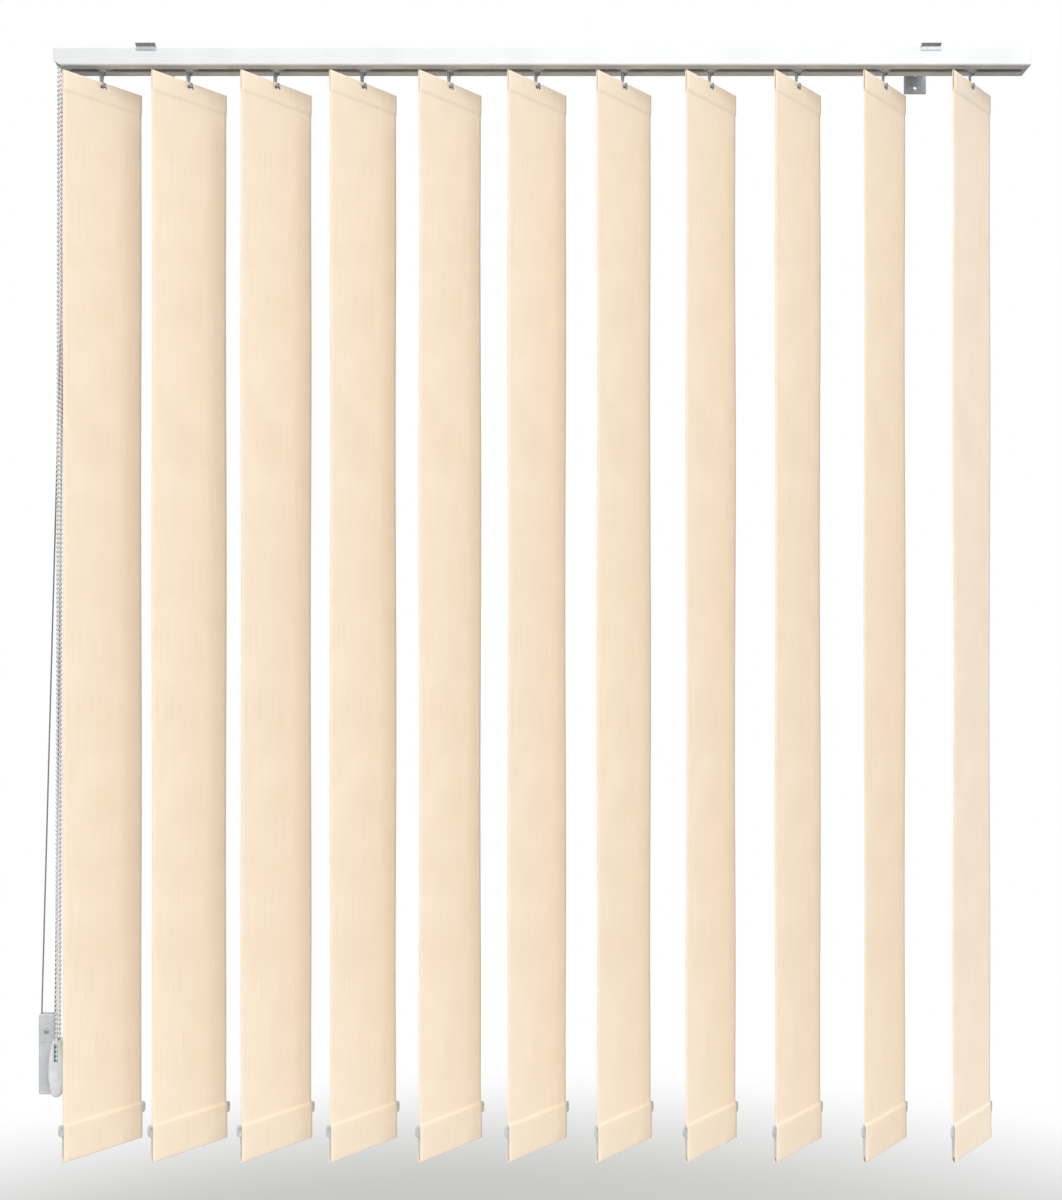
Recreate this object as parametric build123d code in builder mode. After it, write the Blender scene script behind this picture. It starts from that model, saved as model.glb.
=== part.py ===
"""Vertical blind with eleven 127 mm fabric slats, a tilt chain and a draw cord.

Millimetres. +X runs along the headrail to the idle end, +Y points at the wall and +Z is up.
The origin is the centre of the four wall screw holes, in the plane of the wall.
"""

import os
from math import cos, hypot, pi, radians, sin, tan

from build123d import *

os.makedirs("parts", exist_ok=True)

# ---------------------------------------------------------------- driving dimensions
slat_count = 11
slat_pitch = 115.0
slat_width = 127.0
slat_length = 1412.0
slat_angle = 53.7  # of a slat's width from the headrail, at rest
first_slat_x = -576.5

headrail_x = -620.0  # left end of the aluminium
headrail_length = 1262.0
rail_depth = 44.0
rail_height = 24.0
rail_wall = 1.3
rail_corner = 2.5
rail_slot = 12.0
slot_lip = 1.6  # height of the upturned lips beside the slot
slot_lip_wall = 1.2

bracket_spacing = 1028.0
bracket_width = 30.0
bracket_steel = 2.0
bracket_reach = 72.0  # wall to the middle of the headrail
bracket_drop = 34.0
screw_hole_r = 2.25
screw_hole_spacing = 18.0
clip_steel = 1.0
clip_width = 26.0

rod_r = 2.5
rod_core_r = 1.8
rod_rib = 1.2
rod_offset = -8.0  # in front of the middle of the headrail
rod_height = 11.0  # above the underside of the headrail

cord_d = 2.0
cord_height = 13.0
near_lane = 8.0  # the draw cord's two runs, behind the middle of the headrail
far_lane = 16.0
head_pulley_r = 4.5  # to the middle of the cord
weight_pulley_r = 9.0
cord_exit_x = -628.0

chain_d = 4.5
chain_pitch = 6.0
sprocket_pockets = 7
chain_x = -630.7

fabric = 0.5
fit = 0.1  # round piece in its hole, on radius
run = 0.3  # between pieces that slide or turn past each other

# ---------------------------------------------------------------- places worked out from them
rail_y = -bracket_reach
rail_top = bracket_drop / 2 - bracket_steel - clip_steel
rail_base = rail_top - rail_height
rail_mid_z = rail_base + rail_height / 2
rail_end_x = headrail_x + headrail_length
rail_front_y = rail_y - rail_depth / 2
rod_y = rail_y + rod_offset
rod_z = rail_base + rod_height
cord_z = rail_base + cord_height
chain_r = sprocket_pockets * chain_pitch / (2 * pi)
slat_x = [first_slat_x + i * slat_pitch for i in range(slat_count)]

slat_across = Vector(cos(radians(slat_angle)), sin(radians(slat_angle)), 0)
slat_normal = Vector(-sin(radians(slat_angle)), cos(radians(slat_angle)), 0)


def rod_section(extra):
    """The tilt rod's four ribbed section, grown by extra all round."""
    Circle(rod_core_r + extra)
    with PolarLocations(0, 2, angular_range=180):
        Rectangle(2 * (rod_r + extra), rod_rib + 2 * extra)


def corner_radii(points, sharp):
    """Arc radii along a route: 0.45 of the shorter run, or the pulley's own at a sharp turn."""
    radii = []
    for before, here, after in zip(points, points[1:], points[2:]):
        first = Vector(*here) - Vector(*before)
        second = Vector(*after) - Vector(*here)
        turn = first.get_angle(second)
        shorter = min(first.length, second.length)
        radii.append(sharp if turn > 45 else 0.45 * shorter / tan(radians(turn / 2)))
    return radii


# ---------------------------------------------------------------- headrail
with BuildPart() as headrail:
    with BuildSketch(Plane.YZ.offset(headrail_x)):
        with Locations((rail_y, rail_mid_z)):
            RectangleRounded(rail_depth, rail_height, rail_corner)
            RectangleRounded(
                rail_depth - 2 * rail_wall,
                rail_height - 2 * rail_wall,
                rail_corner - rail_wall,
                mode=Mode.SUBTRACT,
            )
        with Locations((rail_y, rail_base + (rail_wall + slot_lip) / 2)):
            Rectangle(rail_slot + 2 * slot_lip_wall, rail_wall + slot_lip)
            Rectangle(rail_slot, rail_wall + slot_lip, mode=Mode.SUBTRACT)
    extrude(amount=headrail_length)
headrail.part.label = "headrail"
export_step(headrail.part, "parts/headrail.step")

# ---------------------------------------------------------------- wall brackets, clips
bracket_x = [-bracket_spacing / 2, bracket_spacing / 2]
bracket_top = rail_top + clip_steel + bracket_steel
bracket_nose = 12.0  # past the middle of the headrail
bend_r = 2.8  # outside the bracket's bend
inner_bend_r = 0.8
clip_screw_r = 2.0
clip_screw_slot = 8.0
clip_screw_head_r = 3.6
clip_screw_head = 2.2
clip_lip = 4.5
clip_tab = 4.0

with BuildPart() as wall_brackets:
    for x in bracket_x:
        with BuildSketch(Plane.YZ.offset(x - bracket_width / 2)) as angle:
            with BuildLine():
                Polyline(
                    (rail_y - bracket_nose, bracket_top),
                    (0, bracket_top),
                    (0, bracket_top - bracket_drop),
                    (-bracket_steel, bracket_top - bracket_drop),
                    (-bracket_steel, bracket_top - bracket_steel),
                    (rail_y - bracket_nose, bracket_top - bracket_steel),
                    close=True,
                )
            make_face()
            fillet(angle.vertices().sort_by_distance((0, bracket_top))[0], bend_r)
            inner_corner = (-bracket_steel, bracket_top - bracket_steel)
            fillet(angle.vertices().sort_by_distance(inner_corner)[0], inner_bend_r)
        extrude(amount=bracket_width)
        with BuildSketch(Plane.XZ):
            with Locations((x, screw_hole_spacing / 2), (x, -screw_hole_spacing / 2)):
                Circle(screw_hole_r)
        extrude(amount=bracket_steel, mode=Mode.SUBTRACT)
        with BuildSketch(Plane.XY.offset(bracket_top)):
            with Locations((x, rail_y)):
                SlotCenterToCenter(clip_screw_slot, 2 * (clip_screw_r + fit), rotation=90)
        extrude(amount=-bracket_steel, mode=Mode.SUBTRACT)
wall_brackets.part.label = "wall_brackets"
export_step(wall_brackets.part, "parts/wall_brackets.step")

with BuildPart() as spring_clips:
    for x in bracket_x:
        front = rail_front_y - fit
        back = rail_front_y + rail_depth + fit
        with BuildSketch(Plane.YZ.offset(x - clip_width / 2)):
            with BuildLine():
                Polyline(
                    (front - clip_tab, rail_top + clip_tab),
                    (front - clip_steel, rail_top + clip_steel),
                    (back + clip_steel, rail_top + clip_steel),
                    (back + clip_steel, rail_top - clip_lip),
                    (back, rail_top - clip_lip),
                    (back, rail_top),
                    (front, rail_top),
                    (front, rail_top - clip_lip),
                    (front - clip_steel, rail_top - clip_lip),
                    (front - clip_steel, rail_top),
                    (front - clip_tab - clip_steel, rail_top + clip_tab - clip_steel / 2),
                    close=True,
                )
            make_face()
        extrude(amount=clip_width)
        with BuildSketch(Plane.XY.offset(rail_top)):
            with Locations((x, rail_y)):
                Circle(clip_screw_r + fit)
        extrude(amount=clip_steel, mode=Mode.SUBTRACT)
        with BuildSketch(Plane.XY.offset(rail_top + fit)):
            with Locations((x, rail_y)):
                Circle(clip_screw_r)
        extrude(amount=clip_steel + bracket_steel)
        with BuildSketch(Plane.XY.offset(bracket_top)):
            with Locations((x, rail_y)):
                Circle(clip_screw_head_r)
        extrude(amount=clip_screw_head)
spring_clips.part.label = "spring_clips"
export_step(spring_clips.part, "parts/spring_clips.step")

# ---------------------------------------------------------------- end fittings
head_length = 16.0  # of the control end, beyond the aluminium
plug_length = 22.0
plug_gap = 0.2
end_wall = 2.0
head_wall = 1.2  # of the control end's outer face
end_floor = 2.6
post_root = 0.4  # how far an axle or post is moulded into the wall at each end
cap_plate = 3.5
axle_r = 1.5
axle_collar_r = 2.5
pulley_width = 4.0
pulley_edge = 1.0
control_x = headrail_x - head_length
bearing_r = hypot(rod_r, rod_rib / 2) + 0.08
roof_gap = 1.5  # from the aluminium to what stands inside it
chain_bay = chain_r + chain_d / 2 + roof_gap  # half the sprocket's room
bay_top = rail_top - rail_wall - roof_gap
bay_base = rail_base + end_floor
cord_bay_front = rail_y + near_lane - pulley_width / 2 - axle_collar_r
cord_bay_back = rail_y + rail_depth / 2 - end_wall
head_pulley_x = cord_exit_x + head_pulley_r
head_pulley_z = cord_z - head_pulley_r
idle_pulley_r = (far_lane - near_lane) / 2
idle_pulley_x = rail_end_x - 10.0
cord_bay_end = cord_exit_x - 3.0
idle_pulley_y = rail_y + (near_lane + far_lane) / 2
bevel_rise = 7.0
bevel_run = 10.0


def plug_section():
    """The plug that fits inside the headrail, relieved over the slot and its lips."""
    with Locations((rail_y, rail_mid_z)):
        RectangleRounded(
            rail_depth - 2 * (rail_wall + plug_gap),
            rail_height - 2 * (rail_wall + plug_gap),
            rail_corner - rail_wall,
        )
    with Locations((rail_y, rail_base + (rail_wall + slot_lip + run) / 2)):
        Rectangle(
            rail_slot + 2 * (slot_lip_wall + run),
            rail_wall + slot_lip + run,
            mode=Mode.SUBTRACT,
        )


def room(x_range, y_range, z_range):
    """Cuts a rectangular room out of the part being built."""
    with BuildSketch(Plane.XY.offset(z_range[0])) as plan:
        with Locations(((x_range[0] + x_range[1]) / 2, (y_range[0] + y_range[1]) / 2)):
            Rectangle(x_range[1] - x_range[0], y_range[1] - y_range[0])
    extrude(plan.sketch, amount=z_range[1] - z_range[0], mode=Mode.SUBTRACT)


with BuildPart() as control_end_housing:
    with BuildSketch(Plane.YZ.offset(control_x)):
        with Locations((rail_y, rail_mid_z)):
            RectangleRounded(rail_depth, rail_height, rail_corner)
    extrude(amount=head_length)
    with BuildSketch(Plane.YZ.offset(headrail_x)):
        plug_section()
    extrude(amount=plug_length)
    # bevel under the end, where the chain comes out
    with BuildSketch(Plane.XZ.offset(-rail_front_y)):
        with BuildLine():
            Polyline(
                (control_x, rail_base),
                (control_x + bevel_run, rail_base),
                (control_x, rail_base + bevel_rise),
                close=True,
            )
        make_face()
    extrude(amount=-rail_depth, mode=Mode.SUBTRACT)
    sprocket_room = (rod_y - chain_bay, rod_y + chain_bay)
    room((control_x + head_wall, headrail_x), sprocket_room, (bay_base, bay_top))
    chain_exit = (control_x + head_wall, chain_x + chain_d / 2 + 2 * run)
    room(chain_exit, sprocket_room, (rail_base, bay_base))
    cord_room = (cord_bay_front, cord_bay_back)
    room((cord_bay_end, headrail_x + plug_length), cord_room, (bay_base, bay_top))
    with BuildSketch(Plane.YZ.offset(control_x + head_wall / 2)):
        with Locations((rod_y, rod_z)):
            Circle(bearing_r)
    extrude(amount=head_length + plug_length, mode=Mode.SUBTRACT)
    with BuildSketch(Plane.XY.offset(rail_base)):
        with Locations((cord_exit_x, rail_y + near_lane), (cord_exit_x, rail_y + far_lane)):
            Circle(cord_d / 2 + run)
    extrude(amount=end_floor, mode=Mode.SUBTRACT)
    # axle for the two head pulleys, with a collar between them
    with BuildSketch(Plane.XZ.offset(-cord_bay_front + post_root)):
        with Locations((head_pulley_x, head_pulley_z)):
            Circle(axle_r)
    extrude(amount=-(cord_bay_back - cord_bay_front + 2 * post_root))
    with BuildSketch(Plane.XZ.offset(-rail_y - near_lane - pulley_width / 2 - run)):
        with Locations((head_pulley_x, head_pulley_z)):
            Circle(axle_collar_r)
    extrude(amount=-(far_lane - near_lane - pulley_width - 2 * run))
control_end_housing.part.label = "control_end_housing"
export_step(control_end_housing.part, "parts/control_end_housing.step")

with BuildPart() as idle_end_cap:
    with BuildSketch(Plane.YZ.offset(rail_end_x)):
        with Locations((rail_y, rail_mid_z)):
            RectangleRounded(rail_depth, rail_height, rail_corner)
    extrude(amount=cap_plate)
    fillet(idle_end_cap.faces().sort_by(Axis.X)[-1].edges(), 1.0)
    with BuildSketch(Plane.YZ.offset(rail_end_x)):
        plug_section()
    extrude(amount=-plug_length)
    room((rail_end_x - plug_length, rail_end_x - end_wall), cord_room, (bay_base, bay_top))
    with BuildSketch(Plane.YZ.offset(rail_end_x - plug_length)):
        with Locations((rod_y, rod_z)):
            Circle(bearing_r)
    extrude(amount=plug_length - end_wall, mode=Mode.SUBTRACT)
    # post for the idle pulley, wider above and below it
    with BuildSketch(Plane.XY.offset(bay_base - post_root)):
        with Locations((idle_pulley_x, idle_pulley_y)):
            Circle(axle_r)
    extrude(amount=bay_top - bay_base + 2 * post_root)
    with BuildSketch(Plane.XY.offset(bay_base - post_root)):
        with Locations((idle_pulley_x, idle_pulley_y)):
            Circle(axle_collar_r)
    extrude(amount=cord_z - pulley_width / 2 - run - bay_base + post_root)
    with BuildSketch(Plane.XY.offset(cord_z + pulley_width / 2 + run)):
        with Locations((idle_pulley_x, idle_pulley_y)):
            Circle(axle_collar_r)
    extrude(amount=bay_top + post_root - cord_z - pulley_width / 2 - run)
idle_end_cap.part.label = "idle_end_cap"
export_step(idle_end_cap.part, "parts/idle_end_cap.step")

# ---------------------------------------------------------------- cord pulleys
groove_r = cord_d / 2 + 0.15
pulley_gap = 0.05  # round each axle


def pulley_profile(cord_r, bore_r, width):
    """Half section of a grooved pulley, radius along x and its axis along y, centred on its width."""
    with Locations(((bore_r + cord_r + pulley_edge) / 2, 0)):
        Rectangle(cord_r + pulley_edge - bore_r, width)
    with Locations((cord_r, 0)):
        Circle(groove_r, mode=Mode.SUBTRACT)
    with Locations((cord_r + groove_r, 0)):
        Rectangle(2 * groove_r, 2 * groove_r, mode=Mode.SUBTRACT)


with BuildPart() as head_pulley_near:
    near_middle = (head_pulley_x, rail_y + near_lane, head_pulley_z)
    near_spin = Plane(near_middle, x_dir=(1, 0, 0), z_dir=(0, 0, -1))
    with BuildSketch(near_spin):
        pulley_profile(head_pulley_r, axle_r + pulley_gap, pulley_width)
    revolve(axis=Axis(near_spin.origin, (0, 1, 0)))
head_pulley_near.part.label = "head_pulley_near"
export_step(head_pulley_near.part, "parts/head_pulley_near.step")

with BuildPart() as head_pulley_far:
    far_middle = (head_pulley_x, rail_y + far_lane, head_pulley_z)
    far_spin = Plane(far_middle, x_dir=(1, 0, 0), z_dir=(0, 0, -1))
    with BuildSketch(far_spin):
        pulley_profile(head_pulley_r, axle_r + pulley_gap, pulley_width)
    revolve(axis=Axis(far_spin.origin, (0, 1, 0)))
head_pulley_far.part.label = "head_pulley_far"
export_step(head_pulley_far.part, "parts/head_pulley_far.step")

with BuildPart() as idle_pulley:
    idle_spin = Plane((idle_pulley_x, idle_pulley_y, cord_z), x_dir=(1, 0, 0), z_dir=(0, -1, 0))
    with BuildSketch(idle_spin):
        pulley_profile(idle_pulley_r, axle_r + pulley_gap, pulley_width)
    revolve(axis=Axis(idle_spin.origin, (0, 0, 1)))
idle_pulley.part.label = "idle_pulley"
export_step(idle_pulley.part, "parts/idle_pulley.step")

# ---------------------------------------------------------------- tilt rod, chain sprocket
rod_start = control_x + head_wall / 2 + fit
rod_end = rail_end_x - end_wall - run
sprocket_left = control_x + head_wall + run
sprocket_width = 2 * (chain_x - sprocket_left)
sprocket_r = chain_r + 1.2

with BuildPart() as tilt_rod:
    with BuildSketch(Plane.YZ.offset(rod_start)):
        with Locations((rod_y, rod_z)):
            rod_section(0)
    extrude(amount=rod_end - rod_start)
tilt_rod.part.label = "tilt_rod"
export_step(tilt_rod.part, "parts/tilt_rod.step")

with BuildPart() as chain_sprocket:
    wheel_spin = Plane((chain_x, rod_y, rod_z), x_dir=(0, 1, 0), z_dir=(0, 0, 1))
    with BuildSketch(Plane.YZ.offset(sprocket_left)):
        with Locations((rod_y, rod_z)):
            Circle(sprocket_r)
    extrude(amount=sprocket_width)
    with BuildSketch(wheel_spin):
        with Locations((chain_r, 0)):
            Circle(chain_d / 2 + run)
        with Locations((chain_r + chain_d / 2, 0)):
            Rectangle(chain_d, chain_d + 2 * run)
    revolve(axis=Axis((chain_x, rod_y, rod_z), (1, 0, 0)), mode=Mode.SUBTRACT)
    with BuildSketch(Plane.YZ.offset(sprocket_left)):
        with Locations((rod_y, rod_z)):
            rod_section(fit / 2)
    extrude(amount=sprocket_width, mode=Mode.SUBTRACT)
chain_sprocket.part.label = "chain_sprocket"
export_step(chain_sprocket.part, "parts/chain_sprocket.step")

# ---------------------------------------------------------------- carriers and spacer strips
carrier_length = 18.0
carrier_depth = 38.0
carrier_corner = 1.5
carrier_top = rail_top - rail_wall - roof_gap
carrier_base = rail_base + rail_wall + slot_lip + run
foot_length = 16.0
foot_width = 5.0
foot_spacing = 30.0
neck_r = 4.8
neck_drop = 2.0
stem_r = 2.5
stem_gap = 0.05
wheel_tip_r = 4.0
wheel_width = 4.0
worm_r = abs(rod_offset) - wheel_tip_r - run
worm_collar_r = worm_r + 0.5
worm_length = 12.0
worm_collar = 1.0
strip_width = 6.0
strip_head = 8.2
strip_head_length = 2.5
strip_steel = 0.25
strip_lane = 0.38
slot_width = 9.0
slot_top = carrier_top - 1.3
slot_base = slot_top - (slat_count - 1) * strip_lane - 2 * run
strip_reach = carrier_length / 2 + run + strip_head_length
anchor_length = 3.0
anchor_inset = 1.0  # from the carrier's end
stop_length = 2.0


def strip_top(i):
    """Top face of the spacer strip that carrier i holds; each lies in a lane of its own."""
    return slot_top - run - i * strip_lane


for i, x in enumerate(slat_x):
    with BuildPart() as carrier:
        with BuildSketch(Plane.XY.offset(carrier_base)):
            with Locations((x, rail_y)):
                RectangleRounded(carrier_length, carrier_depth, carrier_corner)
        extrude(amount=carrier_top - carrier_base)
        with BuildSketch(Plane.XY.offset(carrier_base)):
            with Locations((x, rail_y - foot_spacing / 2), (x, rail_y + foot_spacing / 2)):
                Rectangle(foot_length, foot_width)
        extrude(amount=-(carrier_base - rail_base - rail_wall - run / 2))
        with BuildSketch(Plane.XY.offset(carrier_base)):
            with Locations((x, rail_y)):
                Circle(neck_r)
        extrude(amount=-(carrier_base - rail_base + neck_drop))
        # stem bore, wheel room and worm room
        with BuildSketch(Plane.XY.offset(rail_base - neck_drop)):
            with Locations((x, rail_y)):
                Circle(stem_r + stem_gap)
        extrude(amount=carrier_top - rail_base + neck_drop, mode=Mode.SUBTRACT)
        with BuildSketch(Plane.XY.offset(rod_z - wheel_width / 2 - run)):
            with Locations((x, rail_y)):
                Circle(wheel_tip_r + run)
        extrude(amount=carrier_top - rod_z + wheel_width / 2 + run, mode=Mode.SUBTRACT)
        with BuildSketch(Plane.XY.offset(rod_z)):
            with Locations((x, rod_y)):
                Rectangle(worm_length + 2 * run, 2 * (worm_collar_r + run))
        extrude(amount=carrier_top - rod_z, mode=Mode.SUBTRACT)
        with BuildSketch(Plane.YZ.offset(x - worm_length / 2 - run)):
            with Locations((rod_y, rod_z)):
                Circle(worm_collar_r + run)
        extrude(amount=worm_length + 2 * run, mode=Mode.SUBTRACT)
        # holes for the rod and the two runs of the cord, slot for the strips
        with BuildSketch(Plane.YZ.offset(x - carrier_length / 2)):
            with Locations((rod_y, rod_z)):
                Circle(rod_r + run)
            with Locations((rail_y + near_lane, cord_z), (rail_y + far_lane, cord_z)):
                Circle(cord_d / 2 + 2 * run)
            with Locations((rail_y, (slot_base + slot_top) / 2)):
                Rectangle(slot_width, slot_top - slot_base)
        extrude(amount=carrier_length, mode=Mode.SUBTRACT)
        if i > 0:
            # two stops for the head of the strip from the carrier before
            stop = (slot_width - strip_width) / 2 - run
            with BuildSketch(Plane.XY.offset(strip_top(i - 1))):
                stop_y = (slot_width - stop) / 2
                stop_x = x + (carrier_length - stop_length) / 2
                with Locations((stop_x, rail_y - stop_y), (stop_x, rail_y + stop_y)):
                    Rectangle(stop_length, stop)
            extrude(amount=-strip_steel)
        if i < slat_count - 1:
            # seat under this carrier's own strip, and the strip
            strip_start = x - carrier_length / 2 + anchor_inset
            strip_end = x + slat_pitch + strip_reach
            with BuildSketch(Plane.XY.offset(slot_base)):
                with Locations((strip_start + anchor_length / 2, rail_y)):
                    Rectangle(anchor_length, strip_width)
            extrude(amount=strip_top(i) - strip_steel - fit / 2 - slot_base)
            with BuildSketch(Plane.XY.offset(strip_top(i))):
                with Locations(((strip_start + strip_end) / 2, rail_y)):
                    Rectangle(strip_end - strip_start, strip_width)
                with Locations((strip_end - strip_head_length / 2, rail_y)):
                    Rectangle(strip_head_length, strip_head)
            extrude(amount=-strip_steel)
    carrier.part.label = f"carrier_{i + 1:02d}"
    export_step(carrier.part, f"parts/carrier_{i + 1:02d}.step")

    with BuildPart() as worm:
        with BuildSketch(Plane.YZ.offset(x - worm_length / 2)):
            with Locations((rod_y, rod_z)):
                Circle(worm_r)
        extrude(amount=worm_length)
        near_collar = Plane.YZ.offset(x - worm_length / 2)
        far_collar = Plane.YZ.offset(x + worm_length / 2 - worm_collar)
        with BuildSketch(near_collar, far_collar):
            with Locations((rod_y, rod_z)):
                Circle(worm_collar_r)
        extrude(amount=worm_collar)
        with BuildSketch(Plane.YZ.offset(x - worm_length / 2)):
            with Locations((rod_y, rod_z)):
                rod_section(fit)
        extrude(amount=worm_length, mode=Mode.SUBTRACT)
    worm.part.label = f"worm_{i + 1:02d}"
    export_step(worm.part, f"parts/worm_{i + 1:02d}.step")

# ---------------------------------------------------------------- slats, hangers, hooks, weights
slat_top = rail_base - 16.0
slat_bottom = slat_top - slat_length
hanger_steel = 1.2
hanger_width = 121.0
hanger_height = 22.0
hanger_corner = 3.0
top_hem = 28.0
weight_thick = 3.0
weight_width = 130.0
weight_height = 41.0
weight_corner = 2.0
weight_lift = 4.0  # from the bottom fold to the weight
pocket = 48.0
seam = 2.0  # height of a weld
slit_width = 10.0
slit_height = 4.0
slit_drop = 4.5  # from the top fold to the slit
lug_reach = 6.0  # past the slat's edge
lug_height = 15.0
lug_drop = 3.5  # from the weight's top edge to the middle of a lug
lug_hole_drop = 1.0
lug_hole_r = 1.5
hook_bar = 2.2
hook_gap = 2 * fabric + hanger_steel + 4 * run
hook_width = 5.0
hook_lead = 1.0  # slope on the open side's tip
hook_shoulder = 3.0
hook_corner = 1.0
collar_r = 4.0
collar_height = 2.0
wheel_teeth = 12
tooth_width = 0.9
wheel_root_r = 3.2
top_hem_thick = hanger_steel + 2 * (fabric + run)
pocket_thick = weight_thick + 2 * (fabric + run)
hook_base = slat_top - slit_drop - run - hook_bar
collar_base = rail_base - neck_drop - run - collar_height

for i, x in enumerate(slat_x):
    middle = Vector(x, rail_y, 0)
    near_edge = middle - slat_across * (slat_width / 2)
    edge_plane = Plane(near_edge, x_dir=slat_normal, z_dir=slat_across)
    hook_plane = Plane(middle, x_dir=-slat_normal, z_dir=-slat_across)
    face_plane = Plane(middle, x_dir=slat_across, z_dir=-slat_normal)

    with BuildPart() as slat:
        with BuildSketch(edge_plane):
            with Locations((0, (slat_top + slat_bottom) / 2)):
                Rectangle(fabric, slat_length)
            with Locations((0, slat_top - top_hem / 2)):
                Rectangle(top_hem_thick, top_hem)
            with Locations((0, slat_bottom + pocket / 2)):
                Rectangle(pocket_thick, pocket)
            with Locations((0, slat_top - fabric - (top_hem - fabric - seam) / 2)):
                Rectangle(top_hem_thick - 2 * fabric, top_hem - fabric - seam, mode=Mode.SUBTRACT)
            with Locations((0, slat_bottom + fabric + (pocket - fabric - seam) / 2)):
                Rectangle(pocket_thick - 2 * fabric, pocket - fabric - seam, mode=Mode.SUBTRACT)
        extrude(amount=slat_width)
        with BuildSketch(face_plane):
            with Locations((0, slat_top - slit_drop - slit_height / 2)):
                Rectangle(slit_width, slit_height)
        extrude(amount=top_hem_thick, both=True, mode=Mode.SUBTRACT)
    slat.part.label = f"slat_{i + 1:02d}"
    export_step(slat.part, f"parts/slat_{i + 1:02d}.step")

    with BuildPart() as slat_fittings:
        # hanger in the top hem
        with BuildSketch(face_plane):
            with Locations((0, slat_top - fabric - run - hanger_height / 2)):
                RectangleRounded(hanger_width, hanger_height, hanger_corner)
            with Locations((0, slat_top - slit_drop - slit_height / 2)):
                Rectangle(slit_width, slit_height, mode=Mode.SUBTRACT)
        extrude(amount=hanger_steel / 2, both=True)
        # weight in the bottom pocket, with a lug at each top corner
        with BuildSketch(face_plane) as plate:
            weight_top = slat_bottom + weight_lift + weight_height
            with Locations((0, weight_top - weight_height / 2)):
                RectangleRounded(weight_width, weight_height, weight_corner)
            lug_x = (slat_width + lug_reach) / 2
            with Locations((-lug_x, weight_top - lug_drop), (lug_x, weight_top - lug_drop)):
                SlotOverall(lug_height, lug_reach, rotation=90)
            hole_z = weight_top - lug_hole_drop
            with Locations((-lug_x, hole_z), (lug_x, hole_z)):
                Circle(lug_hole_r, mode=Mode.SUBTRACT)
        extrude(amount=weight_thick / 2, both=True)
        # hook stem: worm wheel, shaft, collar and hook in one moulding
        with BuildSketch(Plane.XY.offset(rod_z - wheel_width / 2)):
            with Locations((x, rail_y)):
                Circle(wheel_root_r)
                with PolarLocations(0, wheel_teeth // 2, angular_range=180):
                    Rectangle(2 * wheel_tip_r, tooth_width)
        extrude(amount=wheel_width)
        with BuildSketch(Plane.XY.offset(collar_base)):
            with Locations((x, rail_y)):
                Circle(stem_r)
        extrude(amount=rod_z - collar_base)
        with BuildSketch(Plane.XY.offset(collar_base)):
            with Locations((x, rail_y)):
                Circle(collar_r)
        extrude(amount=collar_height)
        with BuildSketch(hook_plane) as hook:
            inside = hook_gap / 2
            outside = inside + hook_bar
            with BuildLine():
                Polyline(
                    (-outside, collar_base),
                    (-outside, hook_base),
                    (outside, hook_base),
                    (outside, slat_top + hook_lead),
                    (inside, slat_top - hook_lead),
                    (inside, hook_base + hook_bar),
                    (-inside, hook_base + hook_bar),
                    (-inside, collar_base - hook_shoulder),
                    (hook_shoulder, collar_base),
                    close=True,
                )
            make_face()
            fillet(hook.vertices().group_by(Axis.Z)[0], hook_corner)
        extrude(amount=hook_width / 2, both=True)
    slat_fittings.part.label = f"slat_fittings_{i + 1:02d}"
    export_step(slat_fittings.part, f"parts/slat_fittings_{i + 1:02d}.step")

# ---------------------------------------------------------------- cord weight and its pulley
weight_x = -652.5
weight_y = rail_y + (near_lane + far_lane) / 2
weight_pulley_z = -1282.0
cord_weight_width = 22.0
cord_weight_depth = 16.0
cord_weight_top = weight_pulley_z + 22.0
cord_weight_bottom = -1366.0
fork_base = weight_pulley_z - 14.0
fork_gap = pulley_width + 2 * run
cord_weight_corner = 3.0
parting_depth = 0.5
parting_height = 0.8
weight_pin_r = 2.0
weight_pin_head_r = 3.5
weight_pin_head = 0.8

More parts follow.
